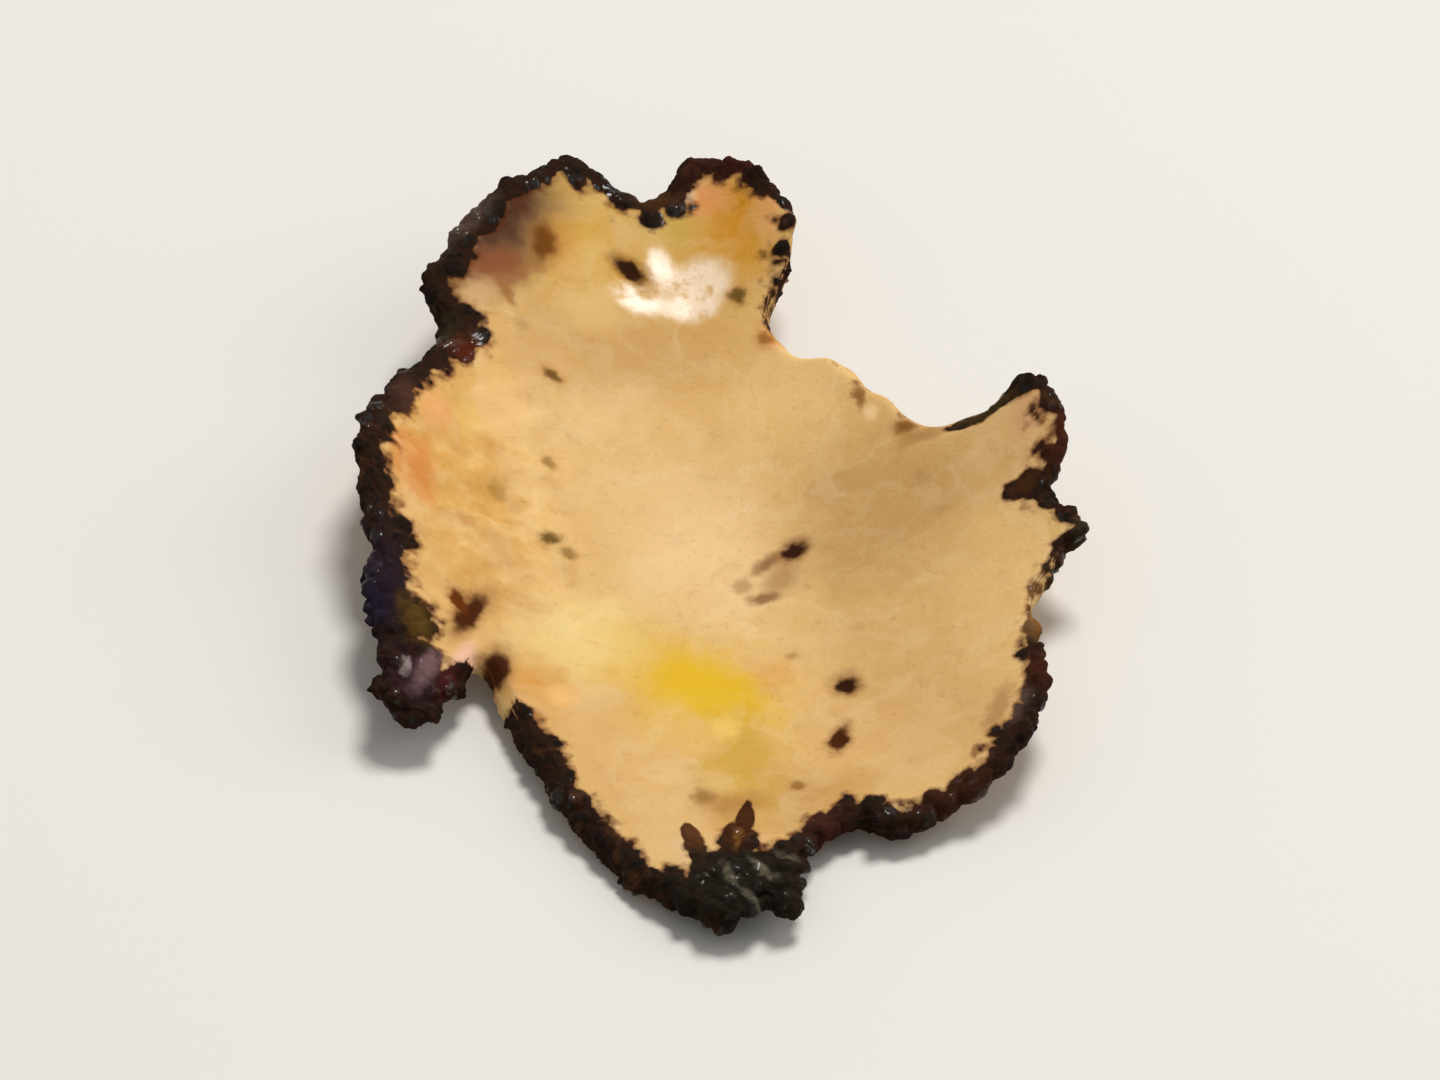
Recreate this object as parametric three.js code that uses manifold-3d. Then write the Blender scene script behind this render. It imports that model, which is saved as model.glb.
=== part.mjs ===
// A thin slice of black truffle that has curled a little and lies on its own small flat spot.
// Millimetres, +Z up. The cut face looks up, and the thick crumbly root of the rind is at -Y.
import * as THREE from "three";
import { mergeVertices } from "three/addons/utils/BufferGeometryUtils.js";
import Module from "manifold-3d";

const wasm = await Module();
wasm.setup();

// Driving dimensions
const THICKNESS = 0.8;
const DISH_MIDDLE = new THREE.Vector2(-0.8, -2.2);
const DISH_HALF_WIDTH = 11.4;
const DISH_HALF_LENGTH = 16.8;
const DISH_POWER = 2.2;
const PRESSED_FLAT = 0.15;

// How high the dish stands where it is as wide as its half sizes, every 30 degrees from +X
const RIM_LIFT = [2.9, 4.6, 5.0, 3.8, 3.7, 3.6, 3.7, 2.1, 1.2, 0.5, 0.9, 1.3];

// Low waves that grow towards the rim: height and length in mm, heading and phase in degrees
const WAVES = [
  { height: 0.28, length: 11, heading: 35, phase: 40 },
  { height: 0.16, length: 7, heading: -50, phase: 110 },
];

// The rim, counter-clockwise from the pointed side, with the width of the black rind on the cut face
const RIM = [
  { name: "point", rind: 0.7, at: [[10.6, -1.4], [11.2, 0.0], [10.9, 1.6], [10.0, 2.9]] },
  { name: "torn gap", rind: 0.0, at: [[8.4, 2.6], [6.7, 2.7], [5.3, 4.3], [3.8, 6.0], [2.4, 6.8]] },
  { name: "lobe side", rind: 0.3, at: [[1.7, 8.2], [2.3, 9.7], [2.5, 11.2]] },
  { name: "lobe", rind: 0.7, at: [[1.8, 12.7], [0.8, 14.0], [-0.8, 14.3], [-1.7, 13.4]] },
  { name: "lobe dip", rind: 0.5, at: [[-2.5, 12.9], [-3.5, 13.3], [-4.7, 13.7], [-6.1, 12.9]] },
  { name: "shoulder", rind: 0.8, at: [[-7.6, 11.4], [-8.9, 9.7], [-9.5, 8.0]] },
  { name: "left", rind: 0.7, at: [[-9.1, 6.5], [-10.0, 4.7], [-11.1, 2.4], [-11.6, -0.7], [-11.1, -3.6]] },
  { name: "low left", rind: 1.2, at: [[-11.3, -5.5], [-10.7, -7.7]] },
  { name: "foot", rind: 1.7, at: [[-10.7, -9.8], [-9.6, -10.8], [-8.5, -9.9]] },
  { name: "slit", rind: 0.2, at: [[-7.7, -7.9], [-7.0, -9.2]] },
  { name: "lower left", rind: 0.3, at: [[-6.3, -11.0], [-5.2, -13.6], [-3.6, -16.2], [-1.9, -18.1]] },
  { name: "root", rind: 2.5, at: [[-0.5, -19.1], [1.0, -19.3], [2.4, -17.8]] },
  { name: "lower right", rind: 0.4, at: [[3.1, -15.9], [4.3, -14.7], [5.6, -15.3], [7.5, -14.2]] },
  { name: "low right", rind: 0.5, at: [[9.0, -13.2], [10.1, -11.1], [10.5, -9.3]] },
  { name: "right", rind: 0.1, at: [[10.0, -6.5], [10.6, -4.7]] },
  { name: "spur", rind: 0.4, at: [[11.1, -3.9], [11.7, -3.5], [11.2, -2.3]] },
];

// The rim wall leans out towards its lower edge where the rind curved under the cut
const LEAN_LEAST = 0.1;
const LEAN_MOST = 0.6;
const WALL_BULGE = 0.12;

// Crumbs of the rind: their height in mm, how many there are round the rim and how they twist
const CRUMBS = [
  { height: 0.12, count: 43, twist: 90 },
  { height: 0.10, count: 67, twist: -200 },
  { height: 0.17, count: 26, twist: 40 },
];
const CRUMB_ON_BARE_FLESH = 0.3;
const RIND_OF_FULL_CRUMBS = 1.6;

// The mesh: points round the rim, rows down its wall and the size of the squares on the faces
const AROUND = 400;
const WALL_ROWS = 4;
const SQUARE = 0.95;
const TRIM_MARGIN = 1;

const TURN = 2 * Math.PI;

// Lift of the dish in one direction, smooth through the values of RIM_LIFT
function rimLift(angle) {
  const count = RIM_LIFT.length;
  const place = ((angle / TURN + 1) % 1) * count;
  const first = Math.floor(place);
  const value = (offset) => RIM_LIFT[(first + offset + count) % count];
  const blend = place - first;
  const slopeIn = (value(1) - value(-1)) / 2;
  const slopeOut = (value(2) - value(0)) / 2;
  const square = blend * blend;
  const cube = square * blend;
  return value(0) * (2 * cube - 3 * square + 1) + slopeIn * (cube - 2 * square + blend)
    + value(1) * (3 * square - 2 * cube) + slopeOut * (cube - square);
}

// Height of the underside over the flat spot, below zero where the slice is pressed flat
function dish(x, y) {
  const across = (x - DISH_MIDDLE.x) / DISH_HALF_WIDTH;
  const along = (y - DISH_MIDDLE.y) / DISH_HALF_LENGTH;
  const reach = Math.hypot(across, along);
  let height = rimLift(Math.atan2(along, across)) * reach ** DISH_POWER - PRESSED_FLAT;
  for (const wave of WAVES) {
    const heading = THREE.MathUtils.degToRad(wave.heading);
    const travel = (x * Math.cos(heading) + y * Math.sin(heading)) / wave.length;
    const phase = THREE.MathUtils.degToRad(wave.phase);
    height += wave.height * reach ** 2 * Math.sin(TURN * travel + phase);
  }
  return height;
}

// How far the crumbs stand out at a share of the way round the rim and down its wall
function crumbs(share, down, rind) {
  const cover = THREE.MathUtils.clamp(rind / RIND_OF_FULL_CRUMBS, CRUMB_ON_BARE_FLESH, 1);
  let height = 0;
  for (const crumb of CRUMBS) {
    const twist = THREE.MathUtils.degToRad(crumb.twist);
    height += crumb.height * Math.sin(TURN * crumb.count * share + twist * down);
  }
  return cover * height;
}

// The closed curve of the rim, whose z carries the width of the rind
function rimCurve() {
  const points = RIM.flatMap(({ rind, at }) => at.map(([x, y]) => new THREE.Vector3(x, y, rind)));
  const curve = new THREE.CatmullRomCurve3(points, true, "catmullrom", 0.5);
  curve.arcLengthDivisions = 40 * points.length;
  return curve;
}

// The rim in plan at one level of the wall, from 0 at the cut face to 1 at the lower edge
function rimLevel(curve, down) {
  return Array.from({ length: AROUND }, (_, index) => {
    const share = index / AROUND;
    const rim = curve.getPointAt(share);
    const along = curve.getTangentAt(share);
    const outward = new THREE.Vector2(along.y, -along.x).normalize();
    const facing = Math.max(0, outward.y) + Math.max(0, -outward.x);
    const lean = Math.min(LEAN_MOST, LEAN_LEAST + facing / 2);
    const proud = WALL_BULGE * Math.sin(Math.PI * down) + crumbs(share, down, rim.z);
    return new THREE.Vector2(rim.x, rim.y).addScaledVector(outward, proud - lean * (1 - down));
  });
}

// The wall as a tall closed block, which trims the slice out of a flat slab
function trimGeometry() {
  const curve = rimCurve();
  const levels = [{ down: 0, z: THICKNESS + TRIM_MARGIN }];
  for (let level = 0; level <= WALL_ROWS; level += 1) {
    const down = level / WALL_ROWS;
    levels.push({ down, z: THICKNESS * (1 - down) });
  }
  levels.push({ down: 1, z: -TRIM_MARGIN });
  const plans = levels.map(({ down }) => rimLevel(curve, down));
  const points = plans.flatMap((plan, level) => plan.map(({ x, y }) => new THREE.Vector3(x, y, levels[level].z)));
  const lowest = points.length - AROUND;
  const faces = [];
  for (const [a, b, c] of THREE.ShapeUtils.triangulateShape(plans[0], [])) {
    faces.push(a, b, c);
  }
  for (const [a, b, c] of THREE.ShapeUtils.triangulateShape(plans.at(-1), [])) {
    faces.push(lowest + a, lowest + c, lowest + b);
  }
  for (let upper = 0; upper < lowest; upper += AROUND) {
    for (let index = 0; index < AROUND; index += 1) {
      const next = (index + 1) % AROUND;
      const lower = upper + AROUND;
      faces.push(upper + index, lower + index, lower + next);
      faces.push(upper + index, lower + next, upper + next);
    }
  }
  const geometry = new THREE.BufferGeometry().setFromPoints(points);
  geometry.setIndex(faces);
  return geometry;
}

// A flat slab larger than the slice, in small squares that the dish can bend
function slabGeometry() {
  const wide = 2 * (DISH_HALF_WIDTH + TRIM_MARGIN);
  const long = 2 * (DISH_HALF_LENGTH + TRIM_MARGIN);
  const slab = new THREE.BoxGeometry(wide, long, THICKNESS, Math.round(wide / SQUARE), Math.round(long / SQUARE), 1);
  return slab.translate(DISH_MIDDLE.x, DISH_MIDDLE.y, THICKNESS / 2);
}

function toSolid(geometry) {
  const bare = geometry.clone();
  bare.deleteAttribute("normal");
  bare.deleteAttribute("uv");
  const merged = mergeVertices(bare);
  const vertProperties = new Float32Array(merged.attributes.position.array);
  const triVerts = new Uint32Array(merged.index.array);
  return new wasm.Manifold(new wasm.Mesh({ numProp: 3, vertProperties, triVerts }));
}

// Bends the flat slice to the dish and stands it on its spot, with its box centred over the origin
function sliceGeometry() {
  const { vertProperties, triVerts } = toSolid(slabGeometry()).intersect(toSolid(trimGeometry())).getMesh();
  const geometry = new THREE.BufferGeometry();
  geometry.setAttribute("position", new THREE.BufferAttribute(new Float32Array(vertProperties), 3));
  geometry.setIndex(Array.from(triVerts));
  const position = geometry.attributes.position;
  for (let index = 0; index < position.count; index += 1) {
    const height = dish(position.getX(index), position.getY(index));
    const up = position.getZ(index) / THICKNESS;
    position.setZ(index, THREE.MathUtils.lerp(Math.max(0, height), height + THICKNESS, up));
  }
  geometry.computeBoundingBox();
  const box = geometry.boundingBox;
  geometry.translate(-(box.min.x + box.max.x) / 2, -(box.min.y + box.max.y) / 2, 0);
  geometry.computeVertexNormals();
  return geometry;
}

const flesh = new THREE.MeshStandardMaterial({ color: 0xcda272, roughness: 0.55, metalness: 0 });

const truffle = new THREE.Group();
const slice = new THREE.Mesh(sliceGeometry(), flesh);
slice.name = "truffle_slice";
truffle.add(slice);

export default truffle;
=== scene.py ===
# One shaved slice of black truffle: tan waxy flesh with a crumbly black rind, on a pale floor.
import math
import random

import bmesh
import bpy
from mathutils import Matrix, Vector, kdtree, noise


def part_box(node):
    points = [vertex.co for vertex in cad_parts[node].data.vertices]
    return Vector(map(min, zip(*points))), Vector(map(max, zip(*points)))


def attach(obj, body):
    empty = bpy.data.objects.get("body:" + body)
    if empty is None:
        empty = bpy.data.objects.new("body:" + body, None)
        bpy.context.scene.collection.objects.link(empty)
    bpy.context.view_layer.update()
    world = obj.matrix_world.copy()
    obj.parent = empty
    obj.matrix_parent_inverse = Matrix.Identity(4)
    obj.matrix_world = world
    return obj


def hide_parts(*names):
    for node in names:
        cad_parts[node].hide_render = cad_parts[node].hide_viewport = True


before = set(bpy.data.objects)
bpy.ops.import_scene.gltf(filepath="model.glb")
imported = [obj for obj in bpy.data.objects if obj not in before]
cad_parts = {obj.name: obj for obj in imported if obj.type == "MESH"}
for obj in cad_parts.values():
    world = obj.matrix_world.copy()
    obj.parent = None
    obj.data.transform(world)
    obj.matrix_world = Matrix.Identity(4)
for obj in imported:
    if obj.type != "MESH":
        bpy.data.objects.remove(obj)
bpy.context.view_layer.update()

NODE = "truffle_slice"
MM = 0.001
TURN = 2 * math.pi

# Driving dimensions in millimetres, the same as the solid's
THICKNESS = 0.8
DISH_MIDDLE = Vector((-0.8, -2.2))
DISH_HALF_WIDTH = 11.4
DISH_HALF_LENGTH = 16.8
DISH_POWER = 2.2
PRESSED_FLAT = 0.15
RIM_LIFT = [2.9, 4.6, 5.0, 3.8, 3.7, 3.6, 3.7, 2.1, 1.2, 0.5, 0.9, 1.3]

# Low waves that grow towards the rim: height and length in mm, heading and phase in degrees
WAVES = [(0.28, 11, 35, 40), (0.16, 7, -50, 110)]

# The rim, counter-clockwise from the pointed side: name, width of the rind, width of its black on the
# cut face (below zero where it keeps off it), strength of the brown stain inside it, and the points of
# the stretch
RIM = [
    ("point", 0.7, 0.10, 0.7, [(10.6, -1.4), (11.2, 0.0), (10.9, 1.6), (10.0, 2.9)]),
    ("torn gap", 0.0, -0.4, 0.1, [(8.4, 2.6), (6.7, 2.7), (5.3, 4.3), (3.8, 6.0), (2.4, 6.8)]),
    ("lobe side", 0.3, -0.35, 0.5, [(1.7, 8.2), (2.3, 9.7), (2.5, 11.2)]),
    ("lobe", 0.7, 0.5, 0.6, [(1.8, 12.7), (0.8, 14.0), (-0.8, 14.3), (-1.7, 13.4)]),
    ("lobe dip", 0.5, 0.28, 0.5, [(-2.5, 12.9), (-3.5, 13.3), (-4.7, 13.7), (-6.1, 12.9)]),
    ("shoulder", 0.8, 0.42, 0.9, [(-7.6, 11.4), (-8.9, 9.7), (-9.5, 8.0)]),
    ("left", 0.7, 0.46, 0.7, [(-9.1, 6.5), (-10.0, 4.7), (-11.1, 2.4), (-11.6, -0.7), (-11.1, -3.6)]),
    ("low left", 1.2, 0.9, 0.7, [(-11.3, -5.5), (-10.7, -7.7)]),
    ("foot", 1.7, 1.2, 0.9, [(-10.7, -9.8), (-9.6, -10.8), (-8.5, -9.9)]),
    ("slit", 0.2, -0.7, 0.5, [(-7.7, -7.9), (-7.0, -9.2)]),
    ("lower left", 0.3, 0.28, 0.5, [(-6.3, -11.0), (-5.2, -13.6), (-3.6, -16.2), (-1.9, -18.1)]),
    ("root", 2.5, 1.2, 0.9, [(-0.5, -19.1), (1.0, -19.3), (2.4, -17.8)]),
    ("lower right", 0.4, 0.42, 0.5, [(3.1, -15.9), (4.3, -14.7), (5.6, -15.3), (7.5, -14.2)]),
    ("low right", 0.5, 0.55, 0.6, [(9.0, -13.2), (10.1, -11.1), (10.5, -9.3)]),
    ("right", 0.1, -0.05, 0.3, [(10.0, -6.5), (10.6, -4.7)]),
    ("spur", 0.4, 0.05, 0.4, [(11.1, -3.9), (11.7, -3.5), (11.2, -2.3)]),
]

# The wall leans in towards the cut face, more where it faces the far side or the left, and bulges at half
# height. All in mm
LEAN_LEAST = 0.1
LEAN_MOST = 0.6
LEAN_BY_FACING = 0.5
WALL_BULGE = 0.12

# Crumbs of the rind: height in mm, how many round the rim and their twist down the wall in degrees
CRUMBS = [(0.12, 43, 90), (0.10, 67, -200), (0.17, 26, 40)]
CRUMB_ON_BARE_FLESH = 0.3
RIND_OF_FULL_CRUMBS = 1.6

# The fine mesh, in mm where it is a size, whose squares are halved in the rind and round the pits
AROUND = 1200
WALL_ROWS = 6
SAMPLES_PER_POINT = 40
VOXEL = 0.15
FINE_PAST_RIND = 0.3

# Where the rind lies further in on the cut face: middle, half sizes, heading in degrees, and how crisp
# its edge is, 1 being as ragged as the edge elsewhere
TONGUES = {
    "root": ((1.0, -18.0), (2.0, 1.6), 0, 1.0),
    "tip of the flame": ((0.85, -15.5), (0.28, 1.6), -6, 2.2),
    "flame": ((0.65, -16.3), (0.62, 1.3), -4, 2.0),
    "second flame": ((-0.65, -16.3), (0.30, 1.3), 12, 2.0),
    "notch": ((-8.3, 6.2), (0.75, 1.2), -20, 1.0),
    "foot": ((-9.6, -9.2), (1.2, 1.5), 0, 1.0),
    "left of the foot": ((-9.7, -7.0), (0.8, 1.0), 0, 1.0),
    "low on the left": ((-10.2, -3.8), (0.5, 0.9), 0, 1.0),
    "under the point": ((10.0, -1.5), (0.85, 0.55), -10, 1.6),
    "beside the point": ((8.8, 2.1), (1.5, 0.34), 10, 2.0),
}

# The outermost strip of the cut face, in mm, which the rind covers wherever there is rind at all, and the
# most that this moves the strip's outer edge into the black
COVERED_EDGE = 0.25
COVERED_EDGE_REACH = 0.5

# How far the warts move the edge of the black in all, in mm
SCALLOP = 0.40

# The width in mm over which the relief of the flesh gives way to that of the rind
RIND_EDGE = 0.3

# How far from the black the brown stain fades to about a third, in mm
STAIN_FADE = 0.8

# Where the rind is piled up in round lumps: middle, half sizes and how many. Then the least and most of
# their radius and of how far they stand above the cut face
LUMPS = [((1.0, -18.0), (1.5, 1.1), 13), ((-9.7, -9.0), (0.7, 1.2), 6)]
LUMP_RADIUS = (0.42, 0.62)
LUMP_PROUD = (0.10, 0.28)

# Loose crumbs on the wall. One may sit at every so many steps of the rim, with this chance for each mm of
# the rind's width, this far down the wall
CRUMB_EVERY = 5
CRUMB_CHANCE = 0.22
CRUMB_RADIUS = (0.17, 0.28)
CRUMB_DOWN = (0.15, 0.85)

# The share of its radius that a grain's middle lies below the cut face and a crumb's inside the wall,
# the flattest that any lump may be, and the seed of all of them
GRAIN_SUNK = 0.55
CRUMB_SUNK = 0.45
LUMP_FLATTEST = 0.8
LUMP_SEED = 11

# Single round grains of rind on the edge of the cut face: place and radius
GRAINS = [
    ((2.4, 10.9), 0.27), ((2.1, 10.0), 0.28), ((1.9, 8.9), 0.25),
    ((9.9, 2.3), 0.42), ((10.5, 1.2), 0.36), ((10.6, -0.6), 0.30),
    ((11.2, -2.8), 0.30), ((11.5, -3.4), 0.24),
    ((1.2, 12.9), 0.38), ((0.3, 13.4), 0.40), ((-0.7, 13.6), 0.34), ((-1.3, 12.2), 0.34),
    ((-2.2, 11.8), 0.36), ((-3.2, 12.2), 0.32), ((-4.5, 12.6), 0.34), ((-5.8, 12.2), 0.32),
    ((-1.3, -17.5), 0.32), ((-2.6, -16.6), 0.24), ((3.2, -15.4), 0.36),
    ((4.1, -14.4), 0.38), ((5.2, -14.9), 0.42), ((6.8, -14.3), 0.30),
    ((8.6, -13.1), 0.32), ((9.7, -11.9), 0.34), ((10.1, -10.0), 0.34), ((10.1, -8.5), 0.26),
    ((-10.2, 2.6), 0.36), ((-10.7, 0.3), 0.34), ((-10.6, -1.9), 0.34), ((-10.2, -3.6), 0.36),
    ((-9.2, 4.8), 0.32), ((-8.6, 8.4), 0.30),
]

# Pits with a dark grain in them: place, half sizes, heading, depth and how dark the grain is
PITS = [
    ((2.5, -2.0), (0.46, 0.34), 46, 0.10, 1.0),
    ((4.1, -8.4), (0.42, 0.42), 0, 0.10, 1.0),
    ((3.9, -10.9), (0.28, 0.62), -14, 0.08, 0.80),
    ((-2.8, 9.7), (0.62, 0.32), -36, 0.10, 1.0),
    ((-7.8, -6.0), (0.36, 1.10), -24, 0.10, 0.80),
    ((-8.2, -5.6), (0.24, 0.48), 30, 0.06, 0.55),
    ((-6.95, -8.2), (0.44, 0.76), -10, 0.10, 0.85),
]
FINE_ROUND_PIT = 1.1

# A soft crease that parts the lumpy left side from the smooth middle. It wanders off its line in swirls
# of a size, and comes and goes in stretches of another. Its depth is an even share of the whole, more or
# less by up to the uneven one
CREASE = [Vector((-6.6, 5.2)), Vector((-5.4, 1.4)), Vector((-5.2, -2.2)), Vector((-3.9, -6.2))]
CREASE_HALF_WIDTH = 0.34
CREASE_DEPTH = 0.11
CREASE_WANDER = 0.35
CREASE_SWIRL = 1.4
CREASE_STRETCH = 0.9
CREASE_EVEN = 0.55
CREASE_UNEVEN = 0.9

# Warts of the rind: the size and height of the large and small ones, and how far and in what size of
# swirl their cells are bent. The small ones' cells are moved off the large ones'. The groove is the share
# of a cell's size over which a wart rises, and the grit is finer still
LARGE_WART = 0.80
LARGE_WART_HEIGHT = 0.30
SMALL_WART = 0.34
SMALL_WART_HEIGHT = 0.10
SMALL_WARTS_MOVED = Vector((5, 3, 8))
WART_BEND = 0.25
WART_SWIRL = 1.3
WART_GROOVE = 0.4
GRIT = 0.17
GRIT_HEIGHT = 0.02

# The share of the warts' height left on the cut face, the width of rind up to which that holds, and how
# much wider the rind is where all of it is left, in mm
SHAVED_SHARE = 0.4
SHAVED_RIND = 0.9
SHAVED_RIND_SPAN = 1.2

# Swells of the cut face: size, height on plain flesh and height added on the lumpy side, all in mm, then
# the noise's own layer and how fast it changes down through the slice
SWELLS = [(3.1, 0.05, 0, 4.0, 0), (1.25, 0.015, 0.20, 9.0, 0.5), (0.5, 0.004, 0.06, 2.0, 0.5)]
LUMPY_SIDE = (-7.3, -1.0)
LUMPY_HALF = (3.4, 8.5)

# Fixes how the warts and the crease wander, so that every run gives the same slice
WANDER_SEED = 7


def smooth_between(values, place):
    """The closed Catmull-Rom curve through values, place counting from the first one."""
    first = math.floor(place)
    blend = place - first
    before, start, end, after = (values[(first + step) % len(values)] for step in (-1, 0, 1, 2))
    slope_in = (end - before) / 2
    slope_out = (after - start) / 2
    square = blend * blend
    cube = square * blend
    return (
        start * (2 * cube - 3 * square + 1)
        + slope_in * (cube - 2 * square + blend)
        + end * (3 * square - 2 * cube)
        + slope_out * (cube - square)
    )


def dish(x, y):
    """Height of the underside over the flat spot, below zero where the slice is pressed flat."""
    across = (x - DISH_MIDDLE.x) / DISH_HALF_WIDTH
    along = (y - DISH_MIDDLE.y) / DISH_HALF_LENGTH
    reach = math.hypot(across, along)
    direction = (math.atan2(along, across) / TURN) % 1 * len(RIM_LIFT)
    height = smooth_between(RIM_LIFT, direction) * reach**DISH_POWER - PRESSED_FLAT
    for tall, length, heading, phase in WAVES:
        turn = math.radians(heading)
        travel = (x * math.cos(turn) + y * math.sin(turn)) / length
        height += tall * reach**2 * math.sin(TURN * travel + math.radians(phase))
    return height


class Rim:
    """Even steps round the rim: plan point, way out, widths of rind and black, strength of stain."""

    def __init__(self):
        knots = [Vector((x, y, rind, black, stain)) for _, rind, black, stain, at in RIM for x, y in at]
        steps = SAMPLES_PER_POINT * len(knots)
        curve = [smooth_between(knots, step / SAMPLES_PER_POINT) for step in range(steps + 1)]
        travelled = [0.0]
        for start, end in zip(curve, curve[1:]):
            travelled.append(travelled[-1] + (end.xyz - start.xyz).length)
        self.points = []
        step = 0
        for index in range(AROUND):
            wanted = travelled[-1] * index / AROUND
            while travelled[step + 1] < wanted:
                step += 1
            blend = (wanted - travelled[step]) / (travelled[step + 1] - travelled[step])
            self.points.append(curve[step].lerp(curve[step + 1], blend))
        self.outward = []
        for index in range(AROUND):
            along = self.points[(index + 1) % AROUND].xy - self.points[index - 1].xy
            self.outward.append(Vector((along.y, -along.x)).normalized())
        self.wall = kdtree.KDTree(AROUND * (WALL_ROWS + 1))
        for row in range(WALL_ROWS + 1):
            for index in range(AROUND):
                self.wall.insert(self.place(index, row / WALL_ROWS), index)
        self.wall.balance()

    def place(self, index, down):
        """A point of the flat slice's wall, down being 0 at the cut face and 1 at the lower edge."""
        point = self.points[index]
        outward = self.outward[index]
        cover = min(1, max(CRUMB_ON_BARE_FLESH, point.z / RIND_OF_FULL_CRUMBS))
        crumbs = 0
        for tall, count, twist in CRUMBS:
            crumbs += tall * math.sin(TURN * count * index / AROUND + math.radians(twist) * down)
        facing = max(0, outward.y) + max(0, -outward.x)
        lean = min(LEAN_MOST, LEAN_LEAST + facing * LEAN_BY_FACING)
        proud = WALL_BULGE * math.sin(math.pi * down) + cover * crumbs
        plan = point.xy + outward * (proud - lean * (1 - down))
        return Vector((plan.x, plan.y, THICKNESS * (1 - down)))

    def nearest(self, flat):
        """The nearest stretch of rim to a point of the flat slice, and how far inside the wall it is.

        The distance is below zero where the point stands out past the wall, as a lump's do.
        """
        spot, index, far = self.wall.find(flat)
        past = (flat.xy - spot.xy).dot(self.outward[index]) > 0
        return self.points[index], -far if past else far


def flat_blank(rim):
    """The slice before it curls: a coin whose wall is moved out to the rim."""
    bm = bmesh.new()
    bmesh.ops.create_cone(bm, cap_ends=True, segments=AROUND, radius1=1, radius2=1, depth=1)
    uprights = [edge for edge in bm.edges if abs(edge.verts[0].co.z - edge.verts[1].co.z) > 0.5]
    bmesh.ops.subdivide_edges(bm, edges=uprights, cuts=WALL_ROWS - 1)
    for vert in bm.verts:
        share = (math.atan2(vert.co.y, vert.co.x) / TURN) % 1
        vert.co = rim.place(round(share * AROUND) % AROUND, 0.5 - vert.co.z)
    bmesh.ops.recalc_face_normals(bm, faces=bm.faces)
    return bm


def add_lumps(bm, rim):
    """Lumps of rind piled up where it is widest, single grains, and crumbs along the wall."""
    draw = random.Random(LUMP_SEED)
    for (x, y), (half_x, half_y), count in LUMPS:
        for _ in range(count):
            radius = draw.uniform(*LUMP_RADIUS)
            top = THICKNESS + draw.uniform(*LUMP_PROUD)
            spot = (x + draw.uniform(-half_x, half_x), y + draw.uniform(-half_y, half_y), top - radius)
            add_lump(bm, draw, spot, radius)
    for (x, y), radius in GRAINS:
        add_lump(bm, draw, (x, y, THICKNESS - GRAIN_SUNK * radius), radius)
    for index in range(0, AROUND, CRUMB_EVERY):
        if draw.random() > CRUMB_CHANCE * rim.points[index].z:
            continue
        radius = draw.uniform(*CRUMB_RADIUS)
        spot = rim.place(index, draw.uniform(*CRUMB_DOWN))
        spot.xy -= rim.outward[index] * (CRUMB_SUNK * radius)
        add_lump(bm, draw, spot, radius)


def add_lump(bm, draw, spot, radius):
    """A round lump, a little flattened and turned at random."""
    place = Matrix.Translation(spot)
    place @= Matrix.Rotation(draw.uniform(0, TURN), 4, Vector((draw.random(), draw.random(), 1)))
    place @= Matrix.Diagonal((1, draw.uniform(LUMP_FLATTEST, 1), draw.uniform(LUMP_FLATTEST, 1), 1))
    bmesh.ops.create_icosphere(bm, subdivisions=2, radius=radius, matrix=place)


def oval_shares(plan, middle, half, heading):
    """How far out along its two axes an oval holds a point, each 1 or -1 at the oval's edge."""
    turn = math.radians(heading)
    across, along = plan - Vector(middle)
    first = (across * math.cos(turn) + along * math.sin(turn)) / half[0]
    second = (along * math.cos(turn) - across * math.sin(turn)) / half[1]
    return first, second


def inside_oval(plan, middle, half, heading):
    """How far inside an oval a point is, in mm and below zero past its edge."""
    share = max(0.01, math.hypot(*oval_shares(plan, middle, half, heading)))
    return min(min(half), (1 / share - 1) * math.hypot(*(plan - Vector(middle))))


def rind_reach(flat, rim):
    """How far inside the black a point of the flat slice is, in mm and below zero on the flesh."""
    point, inside = rim.nearest(flat)
    edge = min(COVERED_EDGE_REACH, max(0, point.z)) * min(1, max(0, 1 - inside / COVERED_EDGE))
    reach = point[3] - inside + edge
    for middle, half, heading, crisp in TONGUES.values():
        reach = max(reach, crisp * inside_oval(flat.xy, middle, half, heading))
    for middle, radius in GRAINS:
        reach = max(reach, radius - (flat.xy - Vector(middle)).length)
    return reach


def needs_detail(flat, rim):
    """Whether a point of the flat slice is in the rind, just past it or beside a pit."""
    if rind_reach(flat, rim) > -FINE_PAST_RIND:
        return True
    return any((flat.xy - Vector(pit[0])).length < FINE_ROUND_PIT for pit in PITS)


def fine_mesh(bm, rim):
    """The same closed shape in even small squares, which are halved in the rind and round the pits."""
    mesh = bpy.data.meshes.new("blank")
    bm.to_mesh(mesh)
    bm.free()
    blank = bpy.data.objects.new("blank", mesh)
    bpy.context.collection.objects.link(blank)
    remesh = blank.modifiers.new("even", "REMESH")
    remesh.mode = "VOXEL"
    remesh.voxel_size = VOXEL
    evaluated = blank.evaluated_get(bpy.context.evaluated_depsgraph_get())
    even = bmesh.new()
    even.from_mesh(evaluated.to_mesh())
    bpy.data.objects.remove(blank)
    detailed = {vert for vert in even.verts if needs_detail(vert.co, rim)}
    edges = [edge for edge in even.edges if detailed.issuperset(edge.verts)]
    bmesh.ops.subdivide_edges(even, edges=edges, cuts=1, use_grid_fill=True)
    even.normal_update()
    return even


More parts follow.
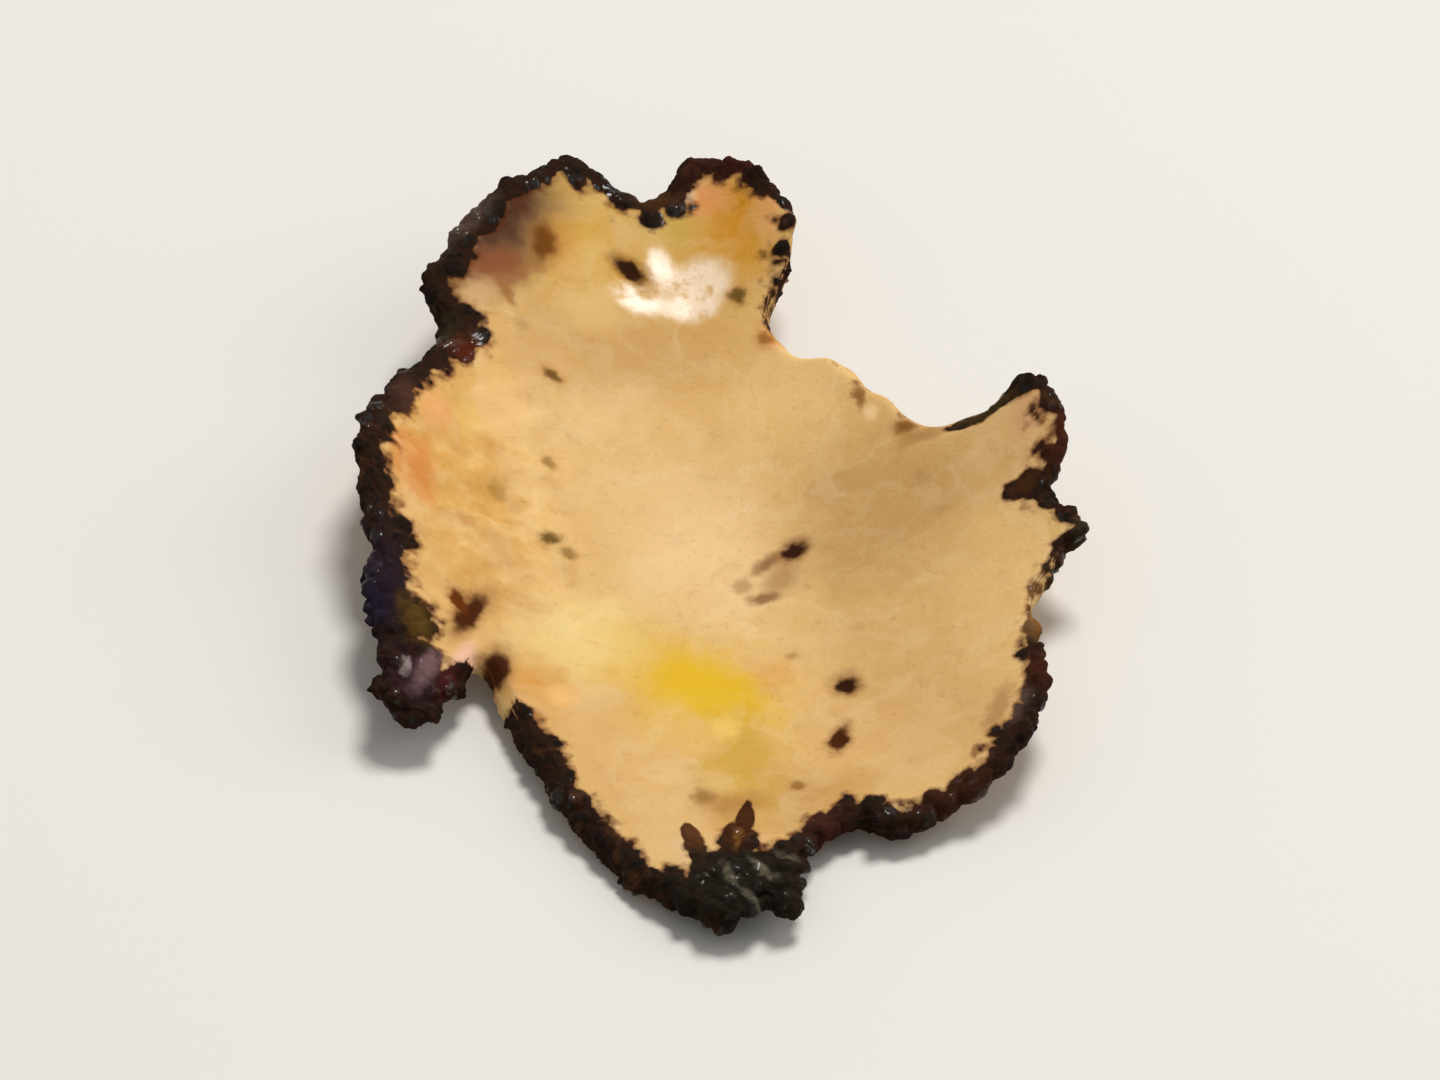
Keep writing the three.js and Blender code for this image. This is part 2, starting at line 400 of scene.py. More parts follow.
def pit_depth(plan):
    """Depth of the soft pits at a point of the plan."""
    depth = 0
    for middle, half, heading, deep, _ in PITS:
        first, second = oval_shares(plan, middle, half, heading)
        depth += deep * math.exp(-(first * first + second * second))
    return depth


def crease_depth(plan):
    """Depth of the crease, which wanders a little, and comes and goes along its way."""
    bent = plan + CREASE_WANDER * noise.noise_vector(Vector((plan.x, plan.y, 0)) / CREASE_SWIRL).xy
    nearest = math.inf
    for start, end in zip(CREASE, CREASE[1:]):
        along = end - start
        travelled = min(1, max(0, (bent - start).dot(along) / along.length_squared))
        nearest = min(nearest, (bent - start - along * travelled).length)
    share = CREASE_EVEN + CREASE_UNEVEN * noise.noise(Vector((plan.x, plan.y, 5)) / CREASE_STRETCH)
    return CREASE_DEPTH * min(1, max(0, share)) * math.exp(-((nearest / CREASE_HALF_WIDTH) ** 2))


def wart(place):
    """A rounded wart in its own cell: 0 in the groove round it, towards 1 at its top."""
    distances, _ = noise.voronoi(place)
    groove = min(1, (distances[1] - distances[0]) / WART_GROOVE)
    return 0.5 * groove + 0.5 * max(0, 1 - distances[0])


def warts(flat):
    """Large and small warts of the rind, each from 0 to 1."""
    bent = flat + WART_BEND * noise.noise_vector(flat / WART_SWIRL)
    return wart(bent / LARGE_WART), wart(bent / SMALL_WART + SMALL_WARTS_MOVED)


def rind_relief(flat, rind, upright, large, small):
    """How far the rind stands out, most on its grown outside and less where the knife went."""
    left = SHAVED_SHARE + (1 - SHAVED_SHARE) * min(1, max(0, (rind - SHAVED_RIND) / SHAVED_RIND_SPAN))
    share = upright + (1 - upright) * left
    proud = LARGE_WART_HEIGHT * (large - 0.5) + SMALL_WART_HEIGHT * (small - 0.5)
    return share * proud + GRIT_HEIGHT * noise.noise(flat / GRIT)


def flesh_relief(flat):
    """Low swells of the cut face, with soft lumps along the left side."""
    across = (flat.x - LUMPY_SIDE[0]) / LUMPY_HALF[0]
    along = (flat.y - LUMPY_SIDE[1]) / LUMPY_HALF[1]
    lumpy = max(0, 1 - math.hypot(across, along)) ** 0.5
    relief = 0
    for size, plain, on_lumps, layer, through in SWELLS:
        swell = noise.noise(Vector((flat.x / size, flat.y / size, layer + through * flat.z)))
        relief += (plain + on_lumps * lumpy) * swell
    return relief


def curl(bm):
    """Bends the flat slice up into its dish, with its underside level where it is pressed flat."""
    for vert in bm.verts:
        height = dish(vert.co.x, vert.co.y)
        up = vert.co.z / THICKNESS
        vert.co.z = max(0, height) * (1 - up) + (height + THICKNESS) * up
    bm.normal_update()


def add_relief(mesh, rim, flats, normals, upright):
    """Raises the warts of the rind and the swells of the flesh, and sinks the pits and the crease.

    The material reads what is kept at each point: how far inside the black it is, how strong the brown
    stain is there, and how high on the warts it stands.
    """
    reaches = mesh.attributes.new("rind_reach", "FLOAT", "POINT")
    stains = mesh.attributes.new("stain", "FLOAT", "POINT")
    raised = mesh.attributes.new("raised", "FLOAT", "POINT")
    for index, vert in enumerate(mesh.vertices):
        flat = flats[index]
        point, _ = rim.nearest(flat)
        large, small = warts(flat)
        reach = rind_reach(flat, rim) + SCALLOP * (large - 0.5)
        cover = min(1, max(0, 0.5 + reach / RIND_EDGE))
        crust = rind_relief(flat, point[2], upright[index], large, small)
        reaches.data[index].value = reach
        stains.data[index].value = point[4] * math.exp(-max(0, -reach) / STAIN_FADE)
        raised.data[index].value = large * small
        vert.co += normals[index] * (flesh_relief(flat) * (1 - cover) + crust * cover)
        on_face = flat.z > THICKNESS / 2
        if on_face:
            vert.co.z -= pit_depth(flat.xy) + crease_depth(flat.xy)
        elif dish(flat.x, flat.y) < 0:
            vert.co.z = 0
        vert.co.z = max(0, vert.co.z)


def shift_to_solid(mesh):
    """How far in plan the mesh has to move to lie centred on the solid that it stands for, in mm."""
    cad_low, cad_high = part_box(NODE)
    shift = Vector((0, 0, 0))
    for axis in (0, 1):
        places = [vert.co[axis] for vert in mesh.vertices]
        shift[axis] = (cad_low[axis] + cad_high[axis]) / 2 / MM - (min(places) + max(places)) / 2
    return shift


def curled_slice(rim):
    """The slice without its material, and how far in mm it was moved to lie centred on the solid."""
    noise.seed_set(WANDER_SEED)
    blank = flat_blank(rim)
    add_lumps(blank, rim)
    even = fine_mesh(blank, rim)
    flats = [vert.co.copy() for vert in even.verts]
    upright = [1 - abs(vert.normal.z) for vert in even.verts]
    curl(even)
    normals = [vert.normal.copy() for vert in even.verts]
    mesh = bpy.data.meshes.new("slice_body")
    even.to_mesh(mesh)
    even.free()
    add_relief(mesh, rim, flats, normals, upright)
    shift = shift_to_solid(mesh)
    mesh.transform(Matrix.Scale(MM, 4) @ Matrix.Translation(shift))
    mesh.shade_smooth()
    piece = bpy.data.objects.new("slice_body", mesh)
    bpy.context.collection.objects.link(piece)
    return piece, shift


class Value:
    """One output of a node in a material. Arithmetic on it adds Math nodes."""

    def __init__(self, finish, output):
        self.finish = finish
        self.output = output

    def _math(self, operation, first, second):
        return self.finish.node("ShaderNodeMath", {"operation": operation}, {0: first, 1: second})

    def __add__(self, other):
        return self._math("ADD", self, other)

    def __sub__(self, other):
        return self._math("SUBTRACT", self, other)

    def __rsub__(self, other):
        return self._math("SUBTRACT", other, self)

    def __mul__(self, other):
        return self._math("MULTIPLY", self, other)

    __radd__ = __add__
    __rmul__ = __mul__

    def size(self):
        return self._math("ABSOLUTE", self, 0)

    def between(self, low, high):
        """0 at low and 1 at high, with a soft start and end."""
        sockets = {"Value": self, "From Min": low, "From Max": high}
        return self.finish.node("ShaderNodeMapRange", {"interpolation_type": "SMOOTHSTEP"}, sockets)


class Finish:
    """A material and its nodes."""

    def __init__(self, name):
        self.material = bpy.data.materials.new(name)
        self.material.use_nodes = True
        self.tree = self.material.node_tree
        self.tree.nodes.clear()

    def node(self, kind, settings=None, sockets=None, output=0):
        """A node of a kind, its settings first, then the links or plain values of its sockets."""
        made = self.tree.nodes.new(kind)
        for setting, value in (settings or {}).items():
            setattr(made, setting, value)
        for socket, value in (sockets or {}).items():
            if isinstance(value, Value):
                self.tree.links.new(value.output, made.inputs[socket])
            else:
                made.inputs[socket].default_value = value
        return Value(self, made.outputs[output]) if made.outputs else None

    def mix(self, first, second, share):
        """The second colour over the first by a share from 0 to 1."""
        settings = {"data_type": "RGBA", "clamp_factor": True}
        sockets = {"Factor": share, 6: first, 7: second}
        return self.node("ShaderNodeMix", settings, sockets, output=2)

    def vector(self, operation, first, second):
        return self.node("ShaderNodeVectorMath", {"operation": operation}, {0: first, 1: second})

    def noise(self, place, size, detail=2.0, roughness=0.5):
        sockets = {"Vector": place, "Scale": 1 / size, "Detail": detail, "Roughness": roughness}
        return self.node("ShaderNodeTexNoise", None, sockets)

    def wander(self, place, size, far):
        """The place moved up to about far from where it is, in swirls of a size."""
        sockets = {"Vector": place, "Scale": 1 / size, "Detail": 3.0}
        swirl = self.node("ShaderNodeTexNoise", None, sockets, output="Color")
        swirl = self.vector("SUBTRACT", swirl, (0.5, 0.5, 0.5))
        return self.vector("ADD", place, self.vector("MULTIPLY", swirl, (3 * far, 3 * far, 3 * far)))

    def spot(self, place, middle, half, heading=0, soft=1.0):
        """1 in the middle of an oval spot in plan and 0 at its edge."""
        if heading:
            sockets = {"Vector": place, "Center": (*middle, 0), "Angle": -math.radians(heading)}
            place = self.node("ShaderNodeVectorRotate", {"rotation_type": "Z_AXIS"}, sockets)
        sockets = {
            0: place,
            1: (1 / half[0], 1 / half[1], 0),
            2: (-middle[0] / half[0], -middle[1] / half[1], 0),
        }
        inside = self.node("ShaderNodeVectorMath", {"operation": "MULTIPLY_ADD"}, sockets)
        distance = self.node("ShaderNodeVectorMath", {"operation": "LENGTH"}, {0: inside}, output="Value")
        return distance.between(1.0, 1.0 - soft)

    def attribute(self, name):
        return self.node("ShaderNodeAttribute", {"attribute_name": name}, None, output="Fac")


def srgb(red, green, blue):
    """A colour on the 0 to 255 scale, as the shader's own linear colour."""
    scaled = [channel / 255 for channel in (red, green, blue)]
    return (*(((c + 0.055) / 1.055) ** 2.4 if c > 0.04 else c / 12.92 for c in scaled), 1)


# Broad soft tints in the flesh: middle, half sizes, heading in degrees, strength and colour
BROAD_TINTS = {
    "gold of the lobes": ((-2.6, 10.4), (7.8, 5.2), 0, 0.90, (200, 156, 72)),
    "olive gold": ((-4.4, 9.4), (2.2, 4.6), 0, 0.65, (208, 164, 64)),
    "left side": ((-8.2, 0.5), (3.6, 8.5), 4, 0.90, (212, 162, 84)),
    "under the lobes": ((-3.0, 6.8), (6.0, 3.0), -8, 0.85, (196, 150, 80)),
    "pale left slope": ((-5.4, -0.5), (1.7, 6.5), 8, 0.55, (230, 192, 128)),
    "middle": ((-0.6, -1.6), (4.6, 6.5), 10, 0.75, (233, 199, 146)),
    "shaded right": ((5.8, -0.6), (5.2, 5.2), 0, 0.85, (186, 145, 88)),
    "right of the middle": ((6.0, -6.5), (4.5, 5.0), 0, 0.60, (200, 158, 98)),
    "lower right": ((7.0, -10.6), (3.6, 4.6), 0, 0.60, (210, 164, 106)),
    "above the root": ((2.4, -14.2), (4.6, 3.0), 0, 0.80, (192, 146, 80)),
    "pale yellow": ((-4.0, -6.2), (3.6, 3.6), 0, 0.85, (232, 202, 132)),
    "yellow patch": ((-0.6, -8.4), (4.8, 3.6), -38, 1.00, (222, 180, 70)),
    "bright yellow": ((-0.1, -8.5), (3.5, 2.2), -42, 1.00, (224, 178, 36)),
    "orange by the yellow": ((1.7, -7.7), (0.9, 1.4), 0, 0.60, (216, 156, 82)),
    # Painted shade: a darker soft zone right of the ring
    "painted shade beside the ring": ((4.4, -3.0), (2.8, 2.8), 0, 0.60, (186, 146, 90)),
    "run of the yellow": ((0.9, -12.0), (2.0, 4.4), 10, 0.90, (202, 160, 62)),
    "orange lobe": ((0.6, 11.3), (1.9, 2.6), 0, 0.95, (206, 140, 30)),
    "orange on the left": ((-9.6, -0.1), (1.0, 2.2), 0, 0.80, (212, 130, 60)),
    "gold at the slit": ((-5.6, -9.0), (1.5, 2.2), 20, 0.85, (206, 146, 60)),
}

# Small soft marks on the flesh, in the same order of values
MARKS = {
    "shoulder": ((-7.1, 10.2), (4.1, 2.3), 52, 0.95, (112, 80, 58)),
    "dark of the shoulder": ((-7.2, 10.9), (3.0, 1.2), 50, 0.90, (66, 45, 35)),
    "rust of the shoulder": ((-7.0, 9.1), (1.7, 1.0), 10, 0.85, (144, 84, 52)),
    "fleck of the shoulder": ((-6.7, 10.3), (0.6, 0.7), 30, 0.70, (84, 54, 38)),
    "streak of the shoulder": ((-8.1, 9.5), (1.3, 0.30), 46, 0.85, (190, 150, 122)),
    "second streak": ((-7.4, 10.5), (1.2, 0.26), 46, 0.75, (160, 126, 102)),
    "orange by the shoulder": ((-5.0, 10.2), (0.9, 1.2), 0, 0.65, (212, 154, 76)),
    "light under the gold": ((-4.0, 8.0), (1.8, 1.4), 0, 0.50, (228, 190, 122)),
    "light high on the left": ((-6.9, 3.6), (1.5, 2.0), 0, 0.60, (240, 200, 138)),
    "yellow high on the left": ((-8.0, 3.0), (0.55, 1.7), 0, 0.50, (222, 182, 92)),
    "deep orange on the left": ((-9.4, -0.3), (0.70, 1.8), 0, 0.75, (206, 134, 64)),
    "deep orange of the lobe": ((1.0, 10.1), (0.75, 1.5), 0, 0.55, (206, 146, 40)),
    "lobe pink": ((-0.3, 12.4), (1.0, 0.9), 0, 0.75, (224, 150, 92)),
    "lobe pink right": ((1.7, 11.6), (0.7, 1.6), 0, 0.60, (226, 158, 92)),
    "light by the dip": ((-0.9, 12.7), (0.35, 0.55), 20, 0.80, (232, 200, 160)),
    "olive under the dip": ((-1.6, 11.4), (1.6, 0.9), 0, 0.55, (190, 158, 62)),
    "orange corner": ((1.9, 7.3), (0.9, 1.2), 0, 0.70, (206, 140, 72)),
    "pale orange": ((-9.0, 2.7), (0.8, 1.4), 0, 0.70, (226, 162, 104)),
    "light under the shoulder": ((-7.6, 8.1), (0.9, 0.7), 30, 0.70, (216, 172, 124)),
    "brown streak": ((-6.8, 8.2), (0.26, 0.85), 34, 0.80, (158, 104, 50)),
    "light brown": ((-6.3, 7.1), (0.40, 0.50), 0, 0.50, (170, 124, 66)),
    "low left dot": ((-8.0, -1.9), (0.40, 0.50), 30, 0.50, (186, 124, 62)),
    "torn edge light": ((5.0, 3.3), (0.40, 0.50), 0, 0.80, (240, 204, 150)),
    "torn edge brown": ((4.6, 4.0), (0.26, 0.80), 10, 0.90, (140, 92, 40)),
    "torn edge shade": ((6.6, 1.9), (1.2, 0.45), 10, 0.60, (160, 112, 56)),
    # Painted highlight: a pale pink band where light falls on the flesh beside the slit
    "painted highlight along the slit": ((-8.0, -8.2), (0.45, 1.3), -15, 0.90, (232, 184, 158)),
    "light orange": ((-4.9, -9.1), (0.8, 0.8), 0, 0.70, (238, 186, 116)),
    "brown below the slit": ((-5.8, -10.4), (0.55, 0.80), 15, 0.75, (146, 100, 48)),
    "pale by the root": ((-0.9, -16.3), (0.8, 1.4), 20, 0.60, (216, 184, 140)),
    "crescent low right": ((8.9, -11.0), (0.55, 1.6), -18, 0.60, (160, 112, 66)),
    "heart of the yellow": ((-0.4, -8.3), (2.4, 1.6), -41, 0.90, (224, 180, 14)),
    "light in the yellow": ((0.3, -10.3), (0.7, 0.9), 0, 0.60, (240, 206, 110)),
    "pink by the point": ((9.9, 1.1), (0.75, 1.4), 0, 0.60, (216, 164, 120)),
    "right of the ring": ((2.1, -3.2), (0.85, 1.3), -10, 0.60, (150, 106, 58)),
    "trail": ((1.6, -2.5), (1.05, 0.46), 42, 0.80, (122, 78, 34)),
    "ring low": ((1.5, -4.1), (0.80, 0.44), 10, 0.80, (118, 76, 34)),
    "ring left": ((0.85, -3.5), (0.48, 0.55), 0, 0.55, (150, 106, 62)),
    "brown over the flames": ((0.5, -14.0), (1.7, 1.0), 0, 0.70, (172, 122, 60)),
    "dot over the second flame": ((-0.4, -13.6), (0.6, 0.6), 0, 0.80, (146, 104, 44)),
}

# Small dark specks in the flesh, which have a brown halo
SPECKS = {
    "shoulder speck": ((-5.6, 10.2), (0.58, 0.88), -8, 0.95, (112, 64, 14)),
    "by the notch": ((-5.3, 5.3), (0.46, 0.28), -45, 0.85, (96, 64, 20)),
    "upper olive": ((0.7, 8.7), (0.36, 0.44), 0, 0.85, (88, 64, 8)),
    "corner": ((1.6, 7.0), (0.38, 0.36), 0, 0.80, (146, 88, 36)),
    "left crease": ((-7.0, 0.1), (0.42, 0.60), 0, 0.50, (150, 112, 40)),
    "crease top": ((-5.4, 1.8), (0.46, 0.32), -50, 0.65, (136, 100, 46)),
    "crease middle": ((-5.3, -1.7), (0.42, 0.38), 20, 0.90, (104, 78, 28)),
    "crease low": ((-4.7, -2.3), (0.36, 0.32), -30, 0.65, (130, 98, 46)),
    "torn edge": ((6.1, 2.4), (0.50, 0.42), 20, 0.90, (128, 80, 26)),
    "faint by the point": ((6.6, 0.2), (0.40, 0.44), 0, 0.22, (146, 108, 58)),
    "faint under it": ((7.2, -1.4), (0.36, 0.40), 0, 0.22, (150, 112, 60)),
    "dot by the root": ((2.6, -13.2), (0.34, 0.32), 0, 0.70, (134, 90, 42)),
    "dot above": ((2.4, -6.9), (0.26, 0.26), 0, 0.45, (150, 112, 60)),
}

# Where the flesh is wet and catches the light, and where a painted highlight lightens its colour: middle,
# half sizes, heading and strength
SHINES = {
    "low arc": ((-2.5, 8.6), (1.5, 0.9), -20, 0.90),
    "upright arc": ((-1.8, 9.8), (0.7, 1.3), 15, 0.85),
    "round patch": ((-0.4, 9.3), (1.5, 1.5), 0, 1.00),
    "under the patch": ((-0.8, 8.3), (1.2, 0.8), 0, 0.90),
}

# Tints of the rind, in the same order of values
RIND_TINTS = {
    "olive root": ((0.9, -18.1), (3.2, 2.6), 0, 0.95, (28, 25, 16)),
    "flame": ((0.75, -15.2), (0.9, 1.9), -6, 1.00, (72, 36, 8)),
    "heart of the flame": ((0.65, -15.9), (0.22, 0.80), -6, 0.80, (128, 86, 38)),
    "second flame": ((-0.7, -15.4), (0.7, 1.6), 12, 1.00, (90, 54, 26)),
    "red lower right": ((3.5, -15.3), (1.3, 1.1), 20, 0.90, (60, 26, 16)),
    "brown lower right": ((7.4, -14.0), (2.4, 1.0), 20, 0.70, (64, 30, 10)),
    "grey low right": ((9.4, -10.9), (0.7, 1.3), -15, 0.80, (92, 72, 62)),
    "red low right": ((10.2, -9.6), (0.7, 1.2), 0, 0.90, (66, 28, 12)),
    "brown right": ((10.2, -6.5), (1.0, 2.2), 0, 0.90, (134, 92, 44)),
    "red point": ((10.9, -0.1), (0.9, 1.4), 0, 0.90, (72, 32, 16)),
    "olive beside the point": ((8.6, 2.1), (1.5, 0.7), 10, 0.80, (64, 50, 18)),
    "brown under the point": ((9.8, -1.4), (0.7, 0.6), 0, 0.95, (68, 38, 8)),
    "grey spur": ((11.6, -3.5), (0.5, 0.5), 0, 0.80, (58, 50, 34)),
    "lobe": ((0.3, 13.6), (2.4, 1.3), 0, 0.80, (58, 22, 8)),
    "dip": ((-1.9, 12.6), (1.2, 0.8), 0, 0.80, (72, 40, 14)),
    "grey shoulder": ((-8.2, 10.4), (2.2, 0.7), 48, 0.75, (92, 74, 64)),
    "red notch": ((-8.0, 5.7), (0.8, 1.0), 0, 1.00, (82, 32, 10)),
    "olive notch": ((-8.7, 6.7), (0.7, 0.8), 0, 0.70, (46, 38, 22)),
    "brown left": ((-9.9, 2.6), (0.8, 1.8), 10, 0.80, (78, 50, 38)),
    "purple low left": ((-10.7, -5.6), (1.4, 3.2), 0, 0.85, (33, 20, 34)),
    "blue of the low left": ((-10.9, -6.6), (0.7, 1.2), 20, 0.50, (40, 32, 56)),
    "olive inside low left": ((-9.5, -7.0), (0.7, 1.6), 20, 0.85, (92, 66, 20)),
    "purple foot": ((-9.5, -9.4), (1.6, 1.7), 0, 0.80, (46, 22, 30)),
    # Painted light on a lit facet of the foot, in its greyish mauve, and a painted highlight on a smaller
    # facet
    "painted light on the foot's facet": ((-9.1, -8.9), (0.50, 1.6), -24, 0.85, (124, 94, 98)),
    "painted highlight on a second facet": ((-9.8, -9.1), (0.22, 0.45), -24, 0.75, (168, 150, 148)),
    "red edge of the foot": ((-8.5, -9.2), (0.36, 1.2), -20, 0.90, (66, 18, 18)),
    # Painted reflections: light grey streaks where the wet black root catches the light
    "painted reflection streak on the root": ((1.5, -17.6), (0.26, 1.1), 35, 0.70, (116, 108, 88)),
    "second painted reflection on the root": ((0.4, -17.7), (0.24, 0.9), 20, 0.70, (116, 108, 88)),
    "third painted reflection on the root": ((1.1, -18.8), (0.24, 0.9), 40, 0.60, (104, 98, 80)),
    "fourth painted reflection on the root": ((2.2, -16.9), (0.22, 0.7), 50, 0.60, (104, 98, 80)),
}


# Plain colours of the flesh, from its ground to the painted highlight on its wet patches
FLESH_DEEP = srgb(214, 172, 108)
FLESH_LIGHT = srgb(224, 184, 120)
# Painted light on the knobs' tops and painted shade in their grooves
KNOB_PAINTED_LIGHT = srgb(236, 202, 136)
KNOB_PAINTED_SHADE = srgb(188, 134, 66)
MOTTLE = srgb(176, 126, 74)
FRECKLE = srgb(150, 100, 56)
VEIN = srgb(242, 222, 182)
BRANCH = srgb(240, 216, 172)
STAIN = srgb(166, 104, 48)
PAINTED_HIGHLIGHT = srgb(248, 228, 204)
FRINGE = srgb(92, 46, 16)
SPECK_HALO = srgb(158, 104, 46)
PIT_HALO = srgb(120, 62, 16)

# A fully dark grain in a pit, and what the palest would have on top of it
DARK_GRAIN = (48, 20, 2)
PALER_GRAIN = (110, 60, 14)

# Plain colours of the rind: between its warts, on them, in its lighter patches, and the painted shade of
# its deepest grooves
RIND_LOW = srgb(46, 25, 11)
RIND_HIGH = srgb(24, 15, 9)
RIND_PATCH = srgb(80, 48, 25)
RIND_GROOVE_SHADE = srgb(16, 11, 8)

# Where the flesh's knobs get painted light on their tops and painted shade in their grooves, round the same
# middle as its lumpy side
KNOBS_HALF = (3.4, 8.0)

# A mark whose half width is more than this, in mm, has a torn outline
TORN_MARK = 0.8

# Where the yellow patch is glossy: middle, half sizes and heading
GLOSSY_PATCH = ((-0.7, -8.3), (2.6, 3.8), 25)

# The blade's fine lines run across the slice. They are this many times as long as wide, and made from a
# noise that is turned by this many degrees
LINES_DRAWN_OUT = 10
LINES_TURNED = 12

# The bump's height in mm, and the scale in mm of how far light goes into the flesh
BUMP = 0.03
LIGHT_DEPTH = 0.4


def wider(half, times):
    return half[0] * times, half[1] * times


def tinted(finish, colour, place, tints, soft):
    """The colour with the soft spots of a table laid over it, one after the other."""
    for middle, half, heading, strength, tint in tints:
        spot = finish.spot(place, middle, half, heading, soft)
        colour = finish.mix(colour, srgb(*tint), spot * strength)
    return colour


def threads(finish, place, size, width):
    """1 along winding threads and 0 away from them."""
    middling = (finish.noise(place, size, detail=1.0, roughness=0.4) - 0.5).size()
    return 1 - middling.between(0.0, width)


def flesh_colour(finish, place):
    """The tan flesh with its broad tints, painted light and shade of knobs on the lumpy side, mottle,
    freckles and light threads.
    """
    cloud = finish.noise(place, size=6.0, detail=3.0)
    colour = finish.mix(FLESH_DEEP, FLESH_LIGHT, cloud.between(0.35, 0.65))
    drifting = finish.wander(place, size=1.8, far=0.9)
    colour = tinted(finish, colour, drifting, BROAD_TINTS.values(), soft=0.85)

    lumpy = finish.spot(drifting, LUMPY_SIDE, KNOBS_HALF, soft=0.5)
    knob = finish.noise(place, size=0.8)
    # Painted light on the knobs' tops and painted shade in their grooves, on the lumpy side only
    colour = finish.mix(colour, KNOB_PAINTED_LIGHT, knob.between(0.50, 0.72) * lumpy * 0.40)
    colour = finish.mix(colour, KNOB_PAINTED_SHADE, knob.between(0.50, 0.30) * lumpy * 0.40)
    mottle = finish.noise(place, size=0.9, detail=4.0, roughness=0.65)
    freckle = finish.noise(place, size=0.24)
    patchy = finish.noise(place, size=3.4).between(0.40, 0.62)
    crinkled = finish.wander(drifting, size=0.7, far=0.25)
    vein = threads(finish, crinkled, size=3.2, width=0.07)
    branch = threads(finish, crinkled, size=1.4, width=0.10)
    colour = finish.mix(colour, MOTTLE, mottle.between(0.50, 0.80) * 0.26)
    colour = finish.mix(colour, FRECKLE, freckle.between(0.60, 0.78) * 0.20)
    colour = finish.mix(colour, VEIN, vein * 0.11)
    return finish.mix(colour, BRANCH, branch * patchy * 0.09)


def shine(finish, place, near):
    """How wet the flesh is, from 0 to 1, in a few broken patches; it also sets where a painted highlight
    lightens the colour.
    """
    wet = 0
    for middle, half, heading, strength in SHINES.values():
        wet = wet + finish.spot(near, middle, half, heading, soft=0.9) * strength
    broken = finish.noise(place, size=0.9, detail=3.0, roughness=0.6).between(0.26, 0.50)
    return wet.between(0.05, 0.90) * broken


def marked(finish, colour, near):
    """The colour with the small marks laid over it, the larger ones with a torn outline."""
    torn = finish.wander(near, size=1.5, far=0.3)
    for mark in MARKS.values():
        loose = torn if min(mark[1]) > TORN_MARK else near
        colour = tinted(finish, colour, loose, [mark], soft=0.8)
    return colour


def specked(finish, colour, near):
    """The colour with the specks and the pits' grains over it, and how waxy the flesh round them is.

    It is 1 on plain flesh and 0 on the crumbly shoulder and round each speck and pit, where nothing gleams.
    """
    middle, half, heading, _, _ = MARKS["shoulder"]
    waxy = 1 - finish.spot(near, middle, half, heading, soft=0.6)
    for middle, half, heading, strength, tint in SPECKS.values():
        halo = finish.spot(near, middle, wider(half, 1.7), heading)
        speck = finish.spot(near, middle, half, heading, soft=0.7)
        colour = finish.mix(colour, SPECK_HALO, halo * 0.6 * strength)
        colour = finish.mix(colour, srgb(*tint), speck * strength)
        waxy = (1 - halo) * waxy
    for middle, half, heading, _, _ in PITS:
        halo = finish.spot(near, middle, wider(half, 2.0), heading, soft=0.9)
        colour = finish.mix(colour, PIT_HALO, halo * 0.9)
        waxy = (1 - halo) * waxy
    for middle, half, heading, _, darkness in PITS:
        grain = finish.spot(near, middle, wider(half, 1.2), heading, soft=0.5)
        tint = [dark + more * (1 - darkness) for dark, more in zip(DARK_GRAIN, PALER_GRAIN)]
        colour = finish.mix(colour, srgb(*tint), grain)
    return colour, waxy


def rind_colour(finish, place, near, raised):
    """The black of the rind, with lighter patches, the tints of its places, some of them painted light and
    reflections, and painted shade in its grooves.
    """
    patch = finish.noise(place, size=0.8, detail=3.0, roughness=0.6)
    black = finish.mix(RIND_LOW, RIND_HIGH, raised.between(0.08, 0.40))
    black = finish.mix(black, RIND_PATCH, patch.between(0.54, 0.70) * 0.65)
    black = tinted(finish, black, near, RIND_TINTS.values(), soft=0.8)
    # Painted shade: darker where the warts are lowest
    return finish.mix(black, RIND_GROOVE_SHADE, raised.between(0.12, 0.0) * 0.6)


def surface_bump(finish, place, rind):
    """Pores, mottle and the blade's fine lines on the flesh, and grit on the rind."""
    lines = finish.node("ShaderNodeMapping", None, {
        "Vector": place,
        "Rotation": (0, 0, math.radians(LINES_TURNED)),
        "Scale": (1 / LINES_DRAWN_OUT, 1.0, 1.0),
    })
    shaved = finish.noise(lines, size=0.40)
    pores = finish.noise(place, size=0.16, detail=3.0, roughness=0.7)
    mottle = finish.noise(place, size=0.9, detail=4.0, roughness=0.65)
    flesh = 0.9 * pores + 0.5 * mottle + 0.35 * shaved
    grit = 2.4 * finish.noise(place, size=0.14, detail=4.0, roughness=0.75)
    height = flesh * (1 - rind) + grit * rind
    return finish.node("ShaderNodeBump", None, {"Strength": 1.0, "Distance": BUMP * MM, "Height": height})


